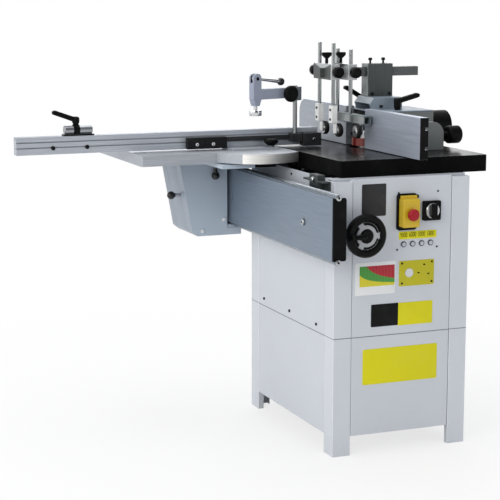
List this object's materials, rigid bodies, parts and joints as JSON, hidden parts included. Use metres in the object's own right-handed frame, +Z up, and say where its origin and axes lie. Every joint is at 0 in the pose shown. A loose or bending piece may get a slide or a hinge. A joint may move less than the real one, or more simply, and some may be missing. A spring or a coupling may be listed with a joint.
{
  "type": "spindle moulder",
  "caption": "Floor standing spindle moulder with a cast iron table, slotted fence and hood, roller presser, sliding mitre table on a side beam, and a crank handwheel that lifts the spindle.",
  "frame": {"origin": "on the floor, at the middle of the whole machine's footprint", "axes": "+X right along the control panel, +Y away from it along the fence, +Z up"},
  "size_m": [1.36, 1.106, 1.179],
  "materials": {
    "grey_paint": "satin",
    "grey_sheet": "satin",
    "iron": "ground",
    "beam_alu": "anodised",
    "alu": "satin",
    "chrome": "polished",
    "steel": "machined",
    "dark_steel": "blackened",
    "black_plastic": "moulded",
    "fence_paint": "hammer",
    "saddle_paint": "satin",
    "yellow_plastic": "gloss",
    "red_plastic": "gloss",
    "green_plastic": "gloss",
    "red_cutter": "gloss",
    "white_plastic": "moulded",
    "tyre_rubber": "matt",
    "belt_rubber": "matt",
    "motor_paint": "satin",
    "cover_grey": "satin"
  },
  "bodies": {
    "frame": {"corner_posts": "grey_paint", "stand_panels": "grey_sheet", "cabinet_panels": "grey_sheet", "control_panel": "grey_sheet", "main_table": "iron", "insert_rings": "iron", "carriage_beam": "beam_alu", "guide_rods": "chrome", "beam_brackets": "dark_steel", "switch_base": "black_plastic", "lift_columns": "steel"},
    "handwheel": {"handwheel": "black_plastic", "handwheel_shaft": "steel"},
    "crank_handle": {"crank_handle": "black_plastic"},
    "lift_screw": {"lift_screw": "steel"},
    "lift_carriage": {"lift_carriage": "iron", "motor_body": "motor_paint", "spindle_bearings": "steel", "drive_belt": "belt_rubber"},
    "spindle": {"spindle_shaft": "steel", "spindle_rings": "steel", "cutter_block": "red_cutter"},
    "motor_rotor": {"motor_pulley": "steel"},
    "fence": {"fence_casting": "fence_paint", "hood_cover": "cover_grey", "extraction_port": "black_plastic", "presser_column": "fence_paint"},
    "infeed_plate": {"infeed_plate": "alu"},
    "outfeed_plate": {"outfeed_plate": "alu"},
    "adjust_knob": {"adjust_knob": "black_plastic"},
    "clamp_lever_near": {"clamp_lever_near": "black_plastic"},
    "clamp_lever_far": {"clamp_lever_far": "black_plastic"},
    "presser_bar": {"presser_bar": "alu"},
    "outer_presser": {"outer_presser": "chrome"},
    "inner_presser": {"inner_presser": "chrome"},
    "roller_near": {"roller_near": "tyre_rubber"},
    "roller_far": {"roller_far": "tyre_rubber"},
    "roller_inner": {"roller_inner": "tyre_rubber"},
    "grip_outer_near": {"grip_outer_near": "black_plastic"},
    "grip_outer_far": {"grip_outer_far": "black_plastic"},
    "grip_inner": {"grip_inner": "black_plastic"},
    "wing_knob_outer": {"wing_knob_outer": "black_plastic"},
    "wing_knob_inner": {"wing_knob_inner": "black_plastic"},
    "carriage": {"saddle": "saddle_paint", "sliding_table": "alu"},
    "lock_knob": {"lock_knob": "black_plastic"},
    "swing_lever": {"swing_lever": "black_plastic"},
    "mitre": {"mitre_rail": "alu", "rail_blocks": "black_plastic"},
    "star_knob": {"star_knob": "black_plastic"},
    "flip_stop": {"flip_stop": "black_plastic"},
    "stop_lever": {"stop_lever": "black_plastic"},
    "hold_arm": {"hold_arm": "fence_paint"},
    "hold_knob": {"hold_knob": "black_plastic"},
    "hold_lever": {"hold_lever": "chrome"},
    "hold_foot": {"hold_foot": "chrome"},
    "switch_flap": {"switch_flap": "yellow_plastic"},
    "stop_button": {"stop_button": "red_plastic"},
    "start_button": {"start_button": "green_plastic"},
    "selector_knob": {"selector_knob": "black_plastic"}
  },
  "joints": [
    {"name": "spindle_lift", "type": "slide", "parent": "frame", "child": "lift_carriage", "axis": [0, 0, 1], "range_m": [-0.075, 0]},
    {"name": "lift_screw_turn", "type": "hinge", "parent": "frame", "child": "lift_screw", "pos_m": [0.191, 0, 0.7], "axis": [0, 0, 1], "range_deg": [0, 6751]},
    {"name": "handwheel_turn", "type": "hinge", "parent": "frame", "child": "handwheel", "pos_m": [0.191, -0.42, 0.657], "axis": [0, 1, 0], "range_deg": [-6751, 0]},
    {"name": "crank_handle_fold", "type": "hinge", "parent": "handwheel", "child": "crank_handle", "pos_m": [0.141, -0.46, 0.657], "axis": [0, 0, 1], "range_deg": [-90, 0]},
    {"name": "spindle_spin", "type": "hinge", "parent": "lift_carriage", "child": "spindle", "pos_m": [0.4, 0, 0.8], "axis": [0, 0, 1], "continuous": true},
    {"name": "motor_spin", "type": "hinge", "parent": "lift_carriage", "child": "motor_rotor", "pos_m": [0.32, -0.205, 0.6], "axis": [0, 0, 1], "continuous": true},
    {"name": "fence_adjust", "type": "slide", "parent": "frame", "child": "fence", "axis": [1, 0, 0], "range_m": [0, 0.02]},
    {"name": "adjust_knob_turn", "type": "hinge", "parent": "fence", "child": "adjust_knob", "pos_m": [0.6, -0.1735, 0.905], "axis": [1, 0, 0], "range_deg": [0, 1801]},
    {"name": "infeed_slide", "type": "slide", "parent": "fence", "child": "infeed_plate", "axis": [0, 1, 0], "range_m": [-0.06, 0]},
    {"name": "outfeed_slide", "type": "slide", "parent": "fence", "child": "outfeed_plate", "axis": [0, 1, 0], "range_m": [0, 0.06]},
    {"name": "clamp_near_turn", "type": "hinge", "parent": "fence", "child": "clamp_lever_near", "pos_m": [0.485, -0.051, 0.98], "axis": [0, 0, 1], "range_deg": [-90, 30]},
    {"name": "clamp_far_turn", "type": "hinge", "parent": "fence", "child": "clamp_lever_far", "pos_m": [0.448, 0.118, 0.98], "axis": [0, 0, 1], "range_deg": [-90, 15]},
    {"name": "presser_reach", "type": "slide", "parent": "fence", "child": "presser_bar", "axis": [1, 0, 0], "range_m": [0, 0.008]},
    {"name": "outer_presser_height", "type": "slide", "parent": "presser_bar", "child": "outer_presser", "axis": [0, 0, 1], "range_m": [-0.025, 0.05]},
    {"name": "inner_presser_height", "type": "slide", "parent": "presser_bar", "child": "inner_presser", "axis": [0, 0, 1], "range_m": [-0.012, 0.04]},
    {"name": "roller_near_spin", "type": "hinge", "parent": "outer_presser", "child": "roller_near", "pos_m": [0.318, 0.015, 0.912], "axis": [1, 0, 0], "continuous": true},
    {"name": "roller_far_spin", "type": "hinge", "parent": "outer_presser", "child": "roller_far", "pos_m": [0.318, 0.116, 0.912], "axis": [1, 0, 0], "continuous": true},
    {"name": "roller_inner_spin", "type": "hinge", "parent": "inner_presser", "child": "roller_inner", "pos_m": [0.324, -0.105, 0.918], "axis": [1, 0, 0], "continuous": true},
    {"name": "grip_outer_near_turn", "type": "hinge", "parent": "presser_bar", "child": "grip_outer_near", "pos_m": [0.298, -0.01, 1.091], "axis": [0, 1, 0], "continuous": true},
    {"name": "grip_outer_far_turn", "type": "hinge", "parent": "presser_bar", "child": "grip_outer_far", "pos_m": [0.298, 0.15, 1.091], "axis": [0, 1, 0], "continuous": true},
    {"name": "grip_inner_turn", "type": "hinge", "parent": "presser_bar", "child": "grip_inner", "pos_m": [0.346, -0.03, 1.091], "axis": [0, 1, 0], "continuous": true},
    {"name": "wing_knob_outer_turn", "type": "hinge", "parent": "presser_bar", "child": "wing_knob_outer", "pos_m": [0.298, 0.065, 1.12], "axis": [0, 0, 1], "continuous": true},
    {"name": "wing_knob_inner_turn", "type": "hinge", "parent": "presser_bar", "child": "wing_knob_inner", "pos_m": [0.346, 0.065, 1.12], "axis": [0, 0, 1], "continuous": true},
    {"name": "carriage_travel", "type": "slide", "parent": "frame", "child": "carriage", "axis": [0, 1, 0], "range_m": [-0.65, 0.1]},
    {"name": "lock_knob_turn", "type": "hinge", "parent": "carriage", "child": "lock_knob", "pos_m": [-0.13, 0.251, 0.703], "axis": [1, 0, 0], "continuous": true},
    {"name": "swing_lever_turn", "type": "hinge", "parent": "carriage", "child": "swing_lever", "pos_m": [-0.014, 0.22, 0.797], "axis": [0, 1, 0], "range_deg": [-40, 40]},
    {"name": "mitre_turn", "type": "hinge", "parent": "carriage", "child": "mitre", "pos_m": [0.048, 0.045, 0.86], "axis": [0, 0, 1], "range_deg": [-45, 45]},
    {"name": "star_knob_turn", "type": "hinge", "parent": "mitre", "child": "star_knob", "pos_m": [0.104, 0.045, 0.87], "axis": [0, 0, 1], "continuous": true},
    {"name": "flip_stop_slide", "type": "slide", "parent": "mitre", "child": "flip_stop", "axis": [1, 0, 0], "range_m": [-0.12, 0.25]},
    {"name": "stop_lever_turn", "type": "hinge", "parent": "flip_stop", "child": "stop_lever", "pos_m": [-0.497, 0.094, 0.96], "axis": [0, 0, 1], "range_deg": [-90, 90]},
    {"name": "hold_arm_height", "type": "slide", "parent": "mitre", "child": "hold_arm", "axis": [0, 0, 1], "range_m": [-0.06, 0]},
    {"name": "hold_knob_turn", "type": "hinge", "parent": "hold_arm", "child": "hold_knob", "pos_m": [0.15696, 0.04329, 1.027], "axis": [0.2924, -0.9563, 0], "continuous": true},
    {"name": "hold_lever_turn", "type": "hinge", "parent": "hold_arm", "child": "hold_lever", "pos_m": [0.04186, 0.0196, 1.076], "axis": [0.2924, -0.9563, 0], "range_deg": [0, 80]},
    {"name": "hold_foot_press", "type": "slide", "parent": "hold_arm", "child": "hold_foot", "axis": [0, 0, 1], "range_m": [-0.0101, 0]},
    {"name": "switch_flap_lift", "type": "hinge", "parent": "frame", "child": "switch_flap", "pos_m": [0.348, -0.393, 0.755], "axis": [-1, 0, 0], "range_deg": [0, 100]},
    {"name": "stop_button_press", "type": "slide", "parent": "switch_flap", "child": "stop_button", "axis": [0, 1, 0], "range_m": [0, 0.004], "stiffness_N_per_m": 400},
    {"name": "start_button_press", "type": "slide", "parent": "frame", "child": "start_button", "axis": [0, 1, 0], "range_m": [0, 0.004], "stiffness_N_per_m": 400},
    {"name": "selector_turn", "type": "hinge", "parent": "frame", "child": "selector_knob", "pos_m": [0.4285, -0.396, 0.7095], "axis": [0, 1, 0], "range_deg": [-60, 60]}
  ],
  "couplings": [
    {"joint": "lift_screw_turn", "follows": "spindle_lift", "rad_per_m": -1570.8},
    {"joint": "handwheel_turn", "follows": "spindle_lift", "rad_per_m": 1570.8},
    {"joint": "motor_spin", "follows": "spindle_spin", "ratio": 0.6129},
    {"joint": "adjust_knob_turn", "follows": "fence_adjust", "rad_per_m": 1570.8},
    {"joint": "hold_foot_press", "follows": "hold_lever_turn", "m_per_rad": -0.007162}
  ]
}
